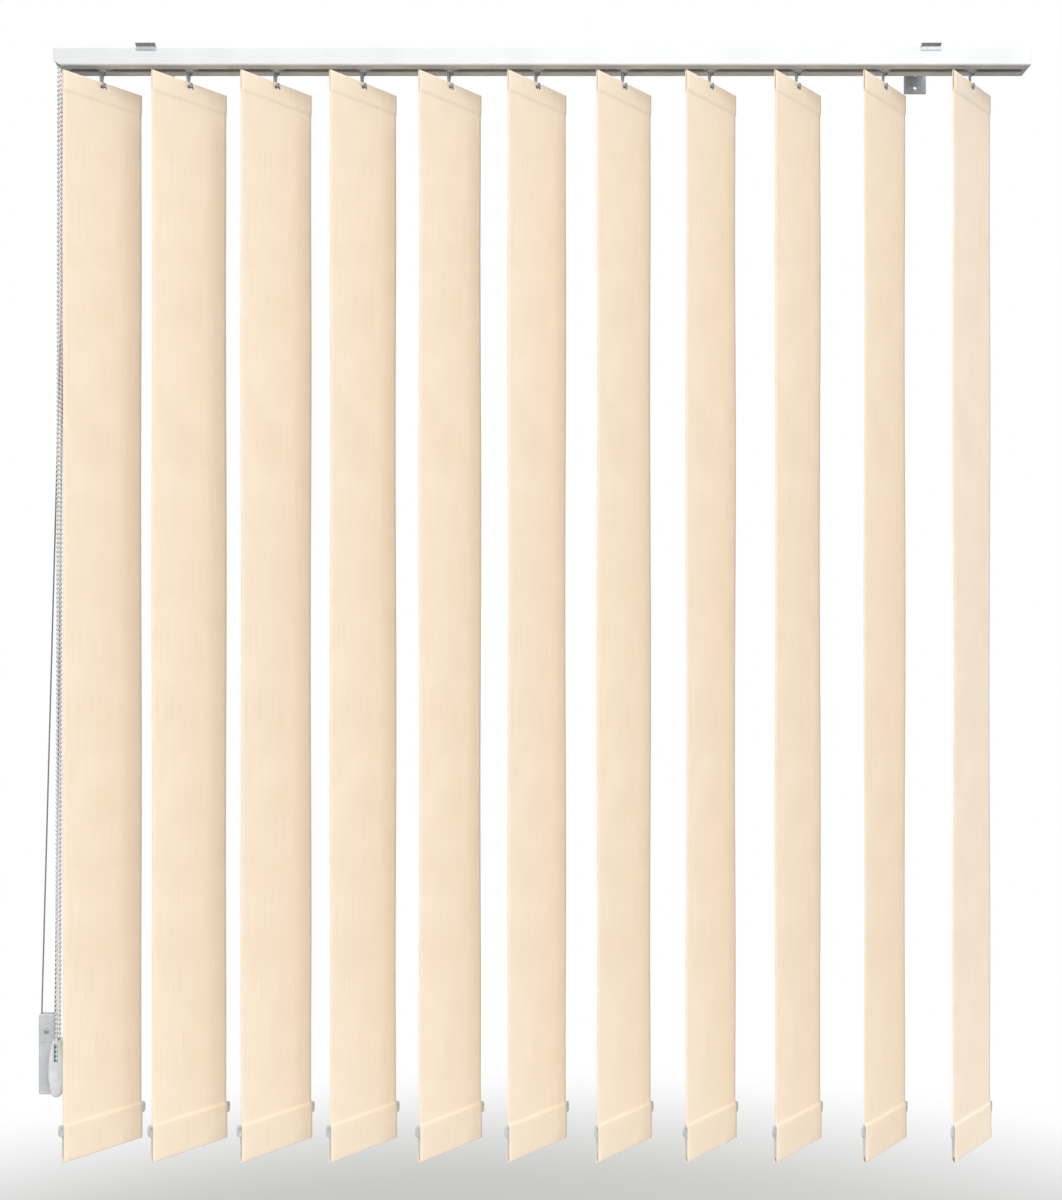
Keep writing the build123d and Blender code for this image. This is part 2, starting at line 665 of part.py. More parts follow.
with BuildPart() as cord_weight:
    with BuildSketch(Plane.XY.offset(cord_weight_bottom)):
        with Locations((weight_x, weight_y)):
            RectangleRounded(cord_weight_width, cord_weight_depth, cord_weight_corner)
    extrude(amount=cord_weight_top - cord_weight_bottom)
    fillet(cord_weight.faces().sort_by(Axis.Z)[0].edges(), 1.5)
    fillet(cord_weight.faces().sort_by(Axis.Z)[-1].edges(), 1.0)
    with BuildSketch(Plane.XY.offset(fork_base)):
        with Locations((weight_x, weight_y)):
            Rectangle(cord_weight_width, fork_gap)
    extrude(amount=cord_weight_top - fork_base, mode=Mode.SUBTRACT)
    # parting groove between the fork and the body
    with BuildSketch(Plane.XY.offset(fork_base - 1.0)):
        with Locations((weight_x, weight_y)):
            Rectangle(cord_weight_width, cord_weight_depth)
            RectangleRounded(
                cord_weight_width - 2 * parting_depth,
                cord_weight_depth - 2 * parting_depth,
                cord_weight_corner - parting_depth,
                mode=Mode.SUBTRACT,
            )
    extrude(amount=parting_height, mode=Mode.SUBTRACT)
    pin_plane = Plane.XZ.offset(-(weight_y - cord_weight_depth / 2))
    with BuildSketch(pin_plane):
        with Locations((weight_x, weight_pulley_z)):
            Circle(weight_pin_r + fit / 2)
    extrude(amount=-cord_weight_depth, mode=Mode.SUBTRACT)
    with BuildSketch(pin_plane):
        with Locations((weight_x, weight_pulley_z)):
            Circle(weight_pin_r)
    extrude(amount=-cord_weight_depth)
    with BuildSketch(pin_plane.offset(fit / 2)):
        with Locations((weight_x, weight_pulley_z)):
            Circle(weight_pin_head_r)
    extrude(amount=weight_pin_head)
    with BuildSketch(pin_plane.offset(-fit / 2)):
        with Locations((weight_x, weight_pulley_z)):
            Circle(weight_pin_r)
    extrude(amount=fit)
cord_weight.part.label = "cord_weight"
export_step(cord_weight.part, "parts/cord_weight.step")

with BuildPart() as cord_weight_pulley:
    weight_spin = Plane((weight_x, weight_y, weight_pulley_z), x_dir=(1, 0, 0), z_dir=(0, 0, -1))
    with BuildSketch(weight_spin):
        pulley_profile(weight_pulley_r, weight_pin_r + pulley_gap, pulley_width)
    revolve(axis=Axis(weight_spin.origin, (0, 1, 0)))
cord_weight_pulley.part.label = "cord_weight_pulley"
export_step(cord_weight_pulley.part, "parts/cord_weight_pulley.step")

# ---------------------------------------------------------------- chain weight
chain_weight_x = -633.5
chain_weight_top = -1290.0
chain_weight_bottom = -1364.0
chain_weight_width = 22.0
chain_weight_depth = 21.0
chain_weight_neck = 10.0
chain_turn_z = -1328.0  # lowest point of the chain's middle line
window_bottom = -1317.0
chain_room = chain_d + 2 * run
core_r = chain_r - chain_d / 2 - run

with BuildPart() as chain_weight:
    half = chain_weight_width / 2
    neck = chain_weight_neck / 2
    widest_z = chain_weight_top - 42
    front_plane = Plane.XZ.offset(-(rod_y - chain_weight_depth / 2))
    with BuildSketch(front_plane):
        with BuildLine():
            Polyline(
                (chain_weight_x, chain_weight_bottom),
                (chain_weight_x, chain_weight_top),
                (chain_weight_x + neck, chain_weight_top),
            )
            Spline(
                (chain_weight_x + neck, chain_weight_top),
                (chain_weight_x + 0.8 * half, chain_weight_top - 16),
                (chain_weight_x + half, widest_z),
                tangents=((0.3, -1), (0, -1)),
            )
            Spline(
                (chain_weight_x + half, widest_z),
                (chain_weight_x + 0.75 * half, chain_weight_bottom + 10),
                (chain_weight_x, chain_weight_bottom),
                tangents=((0, -1), (-1, 0)),
            )
        make_face()
        mirror(about=Plane.YZ.offset(chain_weight_x))
    extrude(amount=-chain_weight_depth)
    side_edges = chain_weight.edges().filter_by(GeomType.BSPLINE)
    fillet(side_edges, 4.0)
    room(
        (chain_weight_x - chain_room / 2, chain_weight_x + chain_room / 2),
        (rod_y - chain_r - chain_room / 2, rod_y + chain_r + chain_room / 2),
        (chain_turn_z - chain_d / 2 - run, chain_weight_top),
    )
    room(
        (chain_weight_x - chain_room / 2, chain_weight_x + chain_room / 2),
        (rod_y - chain_weight_depth / 2, rod_y),
        (window_bottom, chain_weight_top - 3),
    )
    # saddle that hangs in the turn of the chain
    with BuildSketch(Plane.YZ.offset(chain_weight_x - chain_room / 2)):
        with Locations((rod_y, chain_turn_z + chain_r)):
            Circle(core_r)
            with Locations((0, (window_bottom - chain_turn_z - chain_r) / 2)):
                Rectangle(2 * core_r, window_bottom - chain_turn_z - chain_r)
    extrude(amount=chain_room)
chain_weight.part.label = "chain_weight"
export_step(chain_weight.part, "parts/chain_weight.step")

# ---------------------------------------------------------------- draw cord and tilt chain
cord_turn_x = idle_pulley_x + idle_pulley_r
rail_cord_route = [
    (cord_exit_x, rail_y + far_lane, rail_base),
    (cord_exit_x, rail_y + far_lane, cord_z),
    (cord_turn_x, rail_y + far_lane, cord_z),
    (cord_turn_x, rail_y + near_lane, cord_z),
    (cord_exit_x, rail_y + near_lane, cord_z),
    (cord_exit_x, rail_y + near_lane, rail_base),
]
rail_cord_radii = [head_pulley_r, idle_pulley_r - 0.01, idle_pulley_r - 0.01, head_pulley_r]
with BuildPart() as draw_cord_in_rail:
    with BuildLine() as rail_cord_line:
        FilletPolyline(*rail_cord_route, radius=rail_cord_radii)
    with BuildSketch(Plane(rail_cord_line.line @ 0, z_dir=rail_cord_line.line % 0)):
        Circle(cord_d / 2)
    sweep(path=rail_cord_line.line)
draw_cord_in_rail.part.label = "draw_cord_in_rail"
export_step(draw_cord_in_rail.part, "parts/draw_cord_in_rail.step")

# both strands run straight from the headrail to the weight, and turn round its pulley
loop_route = [
    (-628.0, -56.0, -10.0),
    (-661.5, -60.0, -1256.0),
    (-661.5, -60.0, -1291.0),
    (-643.5, -60.0, -1291.0),
    (-643.5, -60.0, -1256.0),
    (-628.0, -64.0, -10.0),
]
loop_radii = corner_radii(loop_route, weight_pulley_r - 0.01)
with BuildPart() as draw_cord_loop:
    with BuildLine() as loop_line:
        FilletPolyline(*loop_route, radius=loop_radii)
    with BuildSketch(Plane(loop_line.line @ 0, z_dir=loop_line.line % 0)):
        Circle(cord_d / 2)
    sweep(path=loop_line.line)
draw_cord_loop.part.label = "draw_cord_loop"
export_step(draw_cord_loop.part, "parts/draw_cord_loop.step")

# the chain goes over the sprocket and hangs in a long narrow loop; its joiner is over the sprocket
chain_route = [
    (-630.7, -79.7, 7.68),
    (-630.7, -73.32, 7.68),
    (-633.5, -73.32, -1328.0),
    (-633.5, -86.68, -1328.0),
    (-630.7, -86.68, 7.68),
    (-630.7, -80.3, 7.68),
]
chain_radii = [6.3, chain_r - 0.02, chain_r - 0.02, 6.3]
with BuildPart() as tilt_chain_loop:
    with BuildLine() as chain_line:
        FilletPolyline(*chain_route, radius=chain_radii)
    with BuildSketch(Plane(chain_line.line @ 0, z_dir=chain_line.line % 0)):
        Circle(chain_d / 2)
    sweep(path=chain_line.line)
tilt_chain_loop.part.label = "tilt_chain_loop"
export_step(tilt_chain_loop.part, "parts/tilt_chain_loop.step")

print("cord in headrail radii", [round(r, 2) for r in rail_cord_radii])
print("hanging cord radii", [round(r, 2) for r in loop_radii])
print("chain radii", [round(r, 2) for r in chain_radii])
for name, line, tube, d in (
    ("cord in headrail", rail_cord_line.wires()[0], draw_cord_in_rail.part, cord_d),
    ("hanging cord", loop_line.wires()[0], draw_cord_loop.part, cord_d),
    ("chain", chain_line.wires()[0], tilt_chain_loop.part, chain_d),
):
    section = pi * d * d / 4
    share = tube.volume / (line.length * section)
    print(name, "length", round(line.length, 1), "share of a full tube", round(share, 4))
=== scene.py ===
"""Vertical blind: eleven cream fabric slats under a slotted headrail.

A tilt chain turns the slats and a draw cord gathers them. Metres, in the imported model's frame: +X
along the headrail to the idle end, +Y at the wall, +Z up.
"""

from math import cos, pi, radians, sin

import bmesh
import bpy
import numpy as np
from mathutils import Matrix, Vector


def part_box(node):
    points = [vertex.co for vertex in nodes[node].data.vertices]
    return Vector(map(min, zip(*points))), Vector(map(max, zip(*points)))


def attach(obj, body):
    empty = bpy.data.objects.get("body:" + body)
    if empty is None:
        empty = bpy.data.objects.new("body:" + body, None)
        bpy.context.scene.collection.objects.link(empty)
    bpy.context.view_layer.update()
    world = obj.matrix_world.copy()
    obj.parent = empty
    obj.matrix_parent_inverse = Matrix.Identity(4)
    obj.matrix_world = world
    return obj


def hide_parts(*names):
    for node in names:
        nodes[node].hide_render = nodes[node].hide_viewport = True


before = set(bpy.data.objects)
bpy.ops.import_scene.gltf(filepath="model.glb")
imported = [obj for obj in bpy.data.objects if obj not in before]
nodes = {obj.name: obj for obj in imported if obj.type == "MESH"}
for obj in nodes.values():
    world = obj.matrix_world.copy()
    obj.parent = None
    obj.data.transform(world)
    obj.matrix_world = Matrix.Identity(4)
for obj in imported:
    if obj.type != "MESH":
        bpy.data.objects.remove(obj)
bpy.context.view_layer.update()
mm = 0.001

# ---------------------------------------------------------------- camera
# Level, a little over two metres in front of the wall, near the middle of the slats' length.
camera_data = bpy.data.cameras.new("camera")
camera_data.lens = 47.94
camera_data.shift_x = -0.0183
camera_data.shift_y = 0.0225
camera = bpy.data.objects.new("camera", camera_data)
camera.location = (0.019, -2.187, -0.746)
camera.rotation_euler = (pi / 2, 0, 0)
bpy.context.collection.objects.link(camera)
bpy.context.scene.camera = camera

# ---------------------------------------------------------------- draw cord
# Braided polyester, 2 mm. It comes out of the control end through two holes, runs straight down to
# the cord weight and turns round the weight's pulley, so that both strands hang taut.
cord_d = 2.0 * mm
braid_pitch = 1.6 * mm
wave_period = 0.314  # metres between the bands of a wave texture whose scale is 1
draw_route = [
    (-0.6280, -0.0560, -0.0100),
    (-0.6610, -0.0600, -1.2440),
    (-0.6615, -0.0600, -1.2700),
    (-0.6617, -0.0600, -1.2914),
    (-0.6433, -0.0600, -1.2914),
    (-0.6435, -0.0600, -1.2700),
    (-0.6433, -0.0600, -1.2440),
    (-0.6280, -0.0640, -0.0100),
]


def linear(hex_colour, alpha=1.0):
    """An sRGB hex colour as linear red, green, blue and alpha."""
    share = np.array([int(hex_colour[i : i + 2], 16) for i in (1, 3, 5)]) / 255
    light = np.where(share <= 0.04045, share / 12.92, ((share + 0.055) / 1.055) ** 2.4)
    return (*light.tolist(), alpha)


def add(tree, kind, inputs=None, **settings):
    """Adds a node. Settings are its own properties; inputs are values, or sockets that feed it."""
    made = tree.nodes.new(kind)
    for name, value in settings.items():
        setattr(made, name, value)
    for name, value in (inputs or {}).items():
        if isinstance(value, bpy.types.NodeSocket):
            tree.links.new(value, made.inputs[name])
        else:
            made.inputs[name].default_value = value
    return made


def new_finish(name, **surface):
    """A material of one Principled surface, and its node tree and surface node."""
    made = bpy.data.materials.new(name)
    made.use_nodes = True
    shader = made.node_tree.nodes["Principled BSDF"]
    for key, value in surface.items():
        shader.inputs[key.replace("_", " ").title().replace("Ior", "IOR")].default_value = value
    return made, made.node_tree, shader


def spline(name, route):
    """A smooth line of one NURBS spline with the route's points as its control points."""
    data = bpy.data.curves.new(name, "CURVE")
    data.dimensions = "3D"
    data.resolution_u = 24
    line = data.splines.new("NURBS")
    line.points.add(len(route) - 1)
    line.points.foreach_set("co", np.hstack([route, np.ones((len(route), 1))]).ravel())
    line.order_u = 3
    line.use_endpoint_u = True
    made = bpy.data.objects.new(name, data)
    bpy.context.collection.objects.link(made)
    return made


def braided_polyester():
    """Braided polyester cord: matt and grey, with the soft ridges of its braid round it."""
    made, tree, shader = new_finish("braided_polyester", roughness=0.75, sheen_weight=0.2)
    place = add(tree, "ShaderNodeTexCoord").outputs["Object"]
    braid = add(
        tree,
        "ShaderNodeTexWave",
        {"Vector": place, "Scale": wave_period / braid_pitch, "Distortion": 1.0, "Detail": 1.0},
        bands_direction="Z",
    )
    shade = add(tree, "ShaderNodeValToRGB", {"Fac": braid.outputs["Fac"]})
    shade.color_ramp.elements[0].color = linear("#6A6C6E")
    shade.color_ramp.elements[1].color = linear("#8B8D8F")
    relief = {"Height": braid.outputs["Fac"], "Distance": 0.15 * mm, "Strength": 0.6}
    raised = add(tree, "ShaderNodeBump", relief)
    tree.links.new(shade.outputs["Color"], shader.inputs["Base Color"])
    tree.links.new(raised.outputs["Normal"], shader.inputs["Normal"])
    return made


cord_finish = braided_polyester()
draw_cord = spline("draw_cord", draw_route)
draw_cord.data.bevel_depth = cord_d / 2
draw_cord.data.bevel_resolution = 3
draw_cord.data.use_fill_caps = True
draw_cord.data.materials.append(cord_finish)
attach(draw_cord, "root")
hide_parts("draw_cord_loop")

# ---------------------------------------------------------------- tilt chain
# Polyester beads 4.5 mm across, moulded every 6 mm on a thin cord. The loop goes over the sprocket
# in the control end and hangs in two close strands, with the chain weight in its lower turn.
bead_d = 4.5 * mm
bead_pitch = 6.0 * mm
string_d = 1.6 * mm
chain_route = [
    (-0.6307, -0.0797, 0.0077),
    (-0.6307, -0.0733, 0.0077),
    (-0.6307, -0.0733, -0.0260),
    (-0.6334, -0.0733, -1.3010),
    (-0.6335, -0.0733, -1.3280),
    (-0.6335, -0.0867, -1.3280),
    (-0.6334, -0.0867, -1.3010),
    (-0.6307, -0.0867, -0.0260),
    (-0.6307, -0.0867, 0.0077),
    (-0.6307, -0.0803, 0.0077),
]


def line_of(route_curve):
    """The points of a bare curve's own line, with how far along it each lies."""
    mesh = bpy.data.meshes.new_from_object(route_curve)
    points = np.empty(len(mesh.vertices) * 3)
    mesh.vertices.foreach_get("co", points)
    bpy.data.meshes.remove(mesh)
    points = points.reshape(-1, 3)
    steps = np.linalg.norm(np.diff(points, axis=0), axis=1)
    return points, np.concatenate([[0.0], np.cumsum(steps)])


def circle(around):
    """Points round a circle of radius 1."""
    turn = np.arange(around) * 2 * pi / around
    return np.stack([np.cos(turn), np.sin(turn)], axis=1)


def swept(path, section, side, scale):
    """Rings of a section carried along a path.

    The section's first coordinate lies along side, and its second across both side and path."""
    along = np.gradient(path, axis=0)
    across = np.cross(along, side)
    across /= np.linalg.norm(across, axis=1, keepdims=True)
    flat = section[None] * np.reshape(scale, (len(path), 1, -1))
    return path[:, None] + flat[..., :1] * np.array(side) + flat[..., 1:] * across[:, None]


def skin(name, rings, finish, closed=False):
    """A closed mesh over rings of points: quads from ring to ring, and a polygon over each end.

    Closed joins the last ring to the first instead, as round a hole."""
    count, around = rings.shape[:2]
    start = np.arange(count if closed else count - 1)[:, None]
    here, there = start * around, (start + 1) % count * around
    j = np.arange(around)
    k = (j + 1) % around
    quads = np.stack([here + j, here + k, there + k, there + j], axis=-1).reshape(-1, 4).tolist()
    first, last = (list(range(n * around, (n + 1) * around)) for n in (0, count - 1))
    ends = [] if closed else [first, last]
    mesh = bpy.data.meshes.new(name)
    mesh.from_pydata(rings.reshape(-1, 3), [], quads + ends)
    work = bmesh.new()
    work.from_mesh(mesh)
    bmesh.ops.recalc_face_normals(work, faces=work.faces)
    work.to_mesh(mesh)
    work.free()
    mesh.materials.append(finish)
    mesh.shade_smooth()
    mesh.set_sharp_from_angle(angle=radians(40))
    made = bpy.data.objects.new(name, mesh)
    bpy.context.collection.objects.link(made)
    return made


def moulded_beads():
    """Polyester beads: pale grey, slightly glossy, and a little darker where they are handled."""
    made, tree, shader = new_finish("moulded_polyester", roughness=0.32)
    place = add(tree, "ShaderNodeTexCoord").outputs["Object"]
    handled = {"Vector": place, "Scale": 1 / (9 * mm), "Detail": 2.0}
    mottle = add(tree, "ShaderNodeTexNoise", handled)
    shade = add(tree, "ShaderNodeValToRGB", {"Fac": mottle.outputs["Fac"]})
    shade.color_ramp.elements[0].position = 0.3
    shade.color_ramp.elements[0].color = linear("#CDD1D2")
    shade.color_ramp.elements[1].position = 0.7
    shade.color_ramp.elements[1].color = linear("#DEE1E2")
    tree.links.new(shade.outputs["Color"], shader.inputs["Base Color"])
    return made


def bead_chain(points, distance):
    """A tube whose radius swells to a ball every pitch: the root of bead radius squared less offset
    squared, never less than the string's radius."""
    offset = np.array([-0.47, -0.40, -0.25, 0.0, 0.25, 0.40, 0.47]) * bead_d
    radius = np.maximum(np.sqrt((bead_d / 2) ** 2 - offset**2), string_d / 2)
    beads = int(distance[-1] / bead_pitch)
    middles = (np.arange(beads) + 0.5) * distance[-1] / beads
    stations = (middles[:, None] + offset).ravel()
    path = np.stack([np.interp(stations, distance, points[:, c]) for c in range(3)], axis=1)
    return path, swept(path, circle(8), (1.0, 0.0, 0.0), np.tile(radius, beads))


chain_line = spline("tilt_chain_line", chain_route)
chain_path, chain_rings = bead_chain(*line_of(chain_line))
bpy.data.objects.remove(chain_line)
tilt_chain = skin("tilt_chain", chain_rings, moulded_beads())
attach(tilt_chain, "root")
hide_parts("tilt_chain_loop")

# ---------------------------------------------------------------- slats
# Woven polyester, 127 mm wide and 0.5 mm thick. The top is turned over the hanger and the bottom
# round the weight, and both are welded across. Between them the cloth keeps a slight curl.
slat_count = 11
slat_angle = radians(53.7)  # of a slat's width from the headrail
slat_width = 127 * mm
cloth_thick = 0.5 * mm
top_hem = 28 * mm
pocket = 48 * mm
hem_end = 28.5 * mm  # from the top fold to where the front is back at the middle
pocket_end = 50 * mm  # and from the bottom fold
hem_half = 1.15 * mm  # middle of the slat to the cloth over the hanger
pocket_half = 2.05 * mm  # and over the weight
slit_half = 5 * mm  # half the width of the slit for the hook
slit_top = 4.5 * mm  # from the top fold
slit_height = 4.0 * mm
ply = 0.55 * mm  # middle of the slat to the turned edge that is welded on behind
curl_start = 30 * mm  # from the top fold to where the curl begins
curl_end = 60 * mm  # and from where it ends to the bottom fold
curl_fade = 220 * mm  # length over which the curl comes in at both ends
curl_mean = 1.5 * mm
curl_change = 0.5 * mm  # from slat to slat, and along each slat
curl_turn = 5.2  # radians for each metre of height
sway_most = 0.7 * mm  # how far an edge stands out from the slat's plane, at most
sway_turn = 8.3  # radians for each metre of height
across = np.array([cos(slat_angle), sin(slat_angle), 0.0])
normal = np.array([-sin(slat_angle), cos(slat_angle), 0.0])
slat_boxes = [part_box(f"slat_{i + 1:02d}") for i in range(slat_count)]
slat_places = [(low + high) / 2 for low, high in slat_boxes]
slat_bottom, slat_top = (corner.z for corner in slat_boxes[0])


def rise(value):
    """A smooth step from 0 to 1 as the value goes from 0 to 1: three squares less two cubes."""
    v = np.clip(value, 0, 1)
    return v * v * (3 - 2 * v)


def slat_fold():
    """The cloth's path from its top edge round the hanger, down, and round the weight.

    Gives each row's height and its distance from the slat's middle plane. Half circles make the two
    folds, and smooth steps 3 to 5 mm tall bring the cloth back to the middle below the hanger and
    above the weight. Rows lie closer together there."""
    half_turn = np.linspace(0, pi, 9)
    top_back = slat_top - np.array([28, 26, 24, 21, 17, 13, 8.5, 4.5]) * mm
    top_front = slat_top - np.array([4.5, 8.5, 12, 16, 19, 21, 23, 25, 27, 28, 29, 31]) * mm
    body = np.linspace(slat_top - 40 * mm, slat_bottom + 64 * mm, 96)
    low_front = slat_bottom + np.array([52, 50, 49, 48, 47, 46, 45, 42, 36, 24, 12, 5]) * mm
    low_back = slat_bottom + np.array([5, 12, 24, 36, 43, 45, 46, 47, 48]) * mm
    front = np.concatenate([top_front, body, low_front])
    front_off = -hem_half * rise((front - slat_top + hem_end) / (5 * mm))
    front_off -= pocket_half * rise((slat_bottom + pocket_end - front) / (4.5 * mm))
    back_off = ply + (hem_half - ply) * rise((top_back - slat_top + top_hem) / (4.5 * mm))
    low_off = ply + (pocket_half - ply) * rise((slat_bottom + pocket - low_back) / (3 * mm))
    height = [
        top_back,
        slat_top - hem_half + hem_half * np.sin(half_turn),
        front,
        slat_bottom + pocket_half - pocket_half * np.sin(half_turn),
        low_back,
    ]
    top_off = hem_half * np.cos(half_turn)
    bottom_off = -pocket_half * np.cos(half_turn)
    off = [back_off, top_off, front_off, bottom_off, low_off]
    return np.concatenate(height), np.concatenate(off)


def slat_cloth(index, place, finish):
    """One slat as a grid of rows down the cloth and columns across it, with the slit left open.

    The curl is a parabola across the width that fades out towards the hanger and the weight. Slow
    sines down the length, each further on than on the slat before, make every slat its own."""
    height, off = slat_fold()
    edge = slat_width / 2
    columns = np.concatenate([np.linspace(-edge, -slit_half, 11), np.linspace(slit_half, edge, 11)])
    free = rise((slat_top - curl_start - height) / curl_fade)
    free *= rise((height - slat_bottom - curl_end) / curl_fade)
    curl_phase, sway_phase = 1.9 * index, 3.99 * index
    curl = curl_mean + curl_change * (sin(curl_phase) + np.sin(height * curl_turn + curl_phase))
    bow = 1 - (columns / edge) ** 2
    sway = sway_most * np.sin(height * sway_turn + sway_phase)
    plane = off[:, None] - (free * curl)[:, None] * bow + (free * sway)[:, None] * columns / edge
    middle = np.array([place.x, place.y, 0.0])
    grid = middle + columns[None, :, None] * across + plane[..., None] * normal
    grid[..., 2] += height[:, None]
    rows, wide = grid.shape[:2]
    row, column = np.meshgrid(np.arange(rows - 1), np.arange(wide - 1), indexing="ij")
    below_fold = slat_top - (height[:-1] + height[1:]) / 2
    at_slit = (below_fold > slit_top) & (below_fold < slit_top + slit_height)
    over_slit = np.isclose(columns[:-1], -slit_half)
    corner = (row * wide + column)[~(at_slit[:, None] & over_slit)]
    quads = np.stack([corner, corner + 1, corner + wide + 1, corner + wide], axis=-1)
    name = f"slat_cloth_{index + 1:02d}"
    mesh = bpy.data.meshes.new(name)
    mesh.from_pydata(grid.reshape(-1, 3), [], quads.tolist())
    along = np.concatenate([[0], np.cumsum(np.hypot(np.diff(height), np.diff(off)))])
    flat = np.stack(np.broadcast_arrays(columns[None, :], along[:, None]), axis=-1).reshape(-1, 2)
    corners = np.empty(len(mesh.loops), dtype=np.int64)
    mesh.loops.foreach_get("vertex_index", corners)
    mesh.uv_layers.new(name="cloth").data.foreach_set("uv", flat[corners].ravel())
    mesh.materials.append(finish)
    mesh.shade_smooth()
    made = bpy.data.objects.new(name, mesh)
    bpy.context.collection.objects.link(made)
    thick = made.modifiers.new("thickness", "SOLIDIFY")
    thick.thickness = cloth_thick
    thick.offset = 0
    return made


def woven_polyester():
    """Dyed polyester weave: matt, with soft slubs down the warp and a fine rib.

    The real threads are 0.4 mm apart; the weave is drawn 0.9 mm apart so that it can show."""
    made, tree, shader = new_finish("woven_polyester", roughness=0.85, sheen_weight=0.15)
    cloth = add(tree, "ShaderNodeUVMap", uv_map="cloth").outputs["UV"]
    thread = 0.9 * mm
    slub_size = (1 / (2.5 * mm), 1 / (90 * mm), 1.0)  # 2.5 mm wide and 90 mm long
    threads = {"Vector": cloth, "Scale": wave_period / thread}
    warp = add(tree, "ShaderNodeTexWave", threads, bands_direction="X")
    weft = add(tree, "ShaderNodeTexWave", threads, bands_direction="Y")
    crossed = {0: warp.outputs["Fac"], 1: weft.outputs["Fac"]}
    weave = add(tree, "ShaderNodeMath", crossed, operation="MULTIPLY")
    drawn = add(tree, "ShaderNodeMapping", {"Vector": cloth, "Scale": slub_size}).outputs["Vector"]
    slub = add(tree, "ShaderNodeTexNoise", {"Vector": drawn, "Scale": 1.0, "Detail": 3.0})
    clouds = {"Vector": cloth, "Scale": 1 / (60 * mm), "Detail": 2.0}
    patch = add(tree, "ShaderNodeTexNoise", clouds)
    both = {0: slub.outputs["Fac"], 1: patch.outputs["Fac"]}
    blend = add(tree, "ShaderNodeMath", both, operation="ADD")
    half = add(tree, "ShaderNodeMath", {0: blend.outputs["Value"], 1: 0.5}, operation="MULTIPLY")
    shade = add(tree, "ShaderNodeValToRGB", {"Fac": half.outputs["Value"]})
    shade.color_ramp.elements[0].position = 0.35
    shade.color_ramp.elements[0].color = linear("#EBDAC3")
    shade.color_ramp.elements[1].position = 0.65
    shade.color_ramp.elements[1].color = linear("#F1E2CD")
    relief = {"Height": weave.outputs["Value"], "Distance": 0.08 * mm, "Strength": 0.5}
    raised = add(tree, "ShaderNodeBump", relief)
    tree.links.new(shade.outputs["Color"], shader.inputs["Base Color"])
    tree.links.new(raised.outputs["Normal"], shader.inputs["Normal"])
    return made


cloth_finish = woven_polyester()
for i, place in enumerate(slat_places):
    slat = slat_cloth(i, place, cloth_finish)
    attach(slat, f"slat_{i + 1:02d}")
    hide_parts(f"slat_{i + 1:02d}")

# ---------------------------------------------------------------- hooks, hangers and weights
# Translucent grey plastic. Each hook hangs from its carrier and holds the hanger through the slit;
# the weight lies in the bottom pocket, and its two lugs stand out past the slat's edges.


def grey_plastic(name, dark, light):
    """Moulded plastic, half clear, so it looks cloudy about 12 mm across, with a smooth gloss."""
    made, tree, shader = new_finish(name, roughness=0.28, ior=1.5)
    place = add(tree, "ShaderNodeTexCoord").outputs["Object"]
    clouds = {"Vector": place, "Scale": 1 / (12 * mm), "Detail": 2.0}
    cloud = add(tree, "ShaderNodeTexNoise", clouds)
    shade = add(tree, "ShaderNodeValToRGB", {"Fac": cloud.outputs["Fac"]})
    shade.color_ramp.elements[0].position = 0.35
    shade.color_ramp.elements[0].color = linear(dark)
    shade.color_ramp.elements[1].position = 0.65
    shade.color_ramp.elements[1].color = linear(light)
    tree.links.new(shade.outputs["Color"], shader.inputs["Base Color"])
    return made


# The hooks, stems and hangers take a darker grey than the weights and their lugs.
darker_grey = grey_plastic("darker_grey_plastic", "#858A8E", "#9A9FA2")
milky = grey_plastic("milky_plastic", "#B4B9BB", "#C6CACC")
rail_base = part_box("headrail")[0].z
wheel_middle = sum(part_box("tilt_rod")[k].z for k in (0, 1)) / 2
collar_top = rail_base - 2.3 * mm
bar = 2.2 * mm  # thickness of the hook
bar_out = 2.8 * mm  # middle of the slat to the middle of the hook's bar
hook_low = slat_top - 5.9 * mm  # the middle of the bar, in the slit
hook_corner = 1.4 * mm
wheel_teeth = 12
wheel_root = 3.2 * mm
tooth_height = 0.8 * mm


def squared(width, height, power, around):
    """An outline between ellipse and rectangle: its two coordinates' powers add up to one."""
    round_points = circle(around)
    return np.sign(round_points) * np.abs(round_points) ** (2 / power) * (width / 2, height / 2)


def in_slat(along_slat, outward, height, place):
    """Points given along a slat's width, out from its face and by height, in the model's frame."""
    middle = np.array([place.x, place.y, 0.0])
    points = middle + along_slat[..., None] * across + outward[..., None] * normal
    points[..., 2] += height
    return points


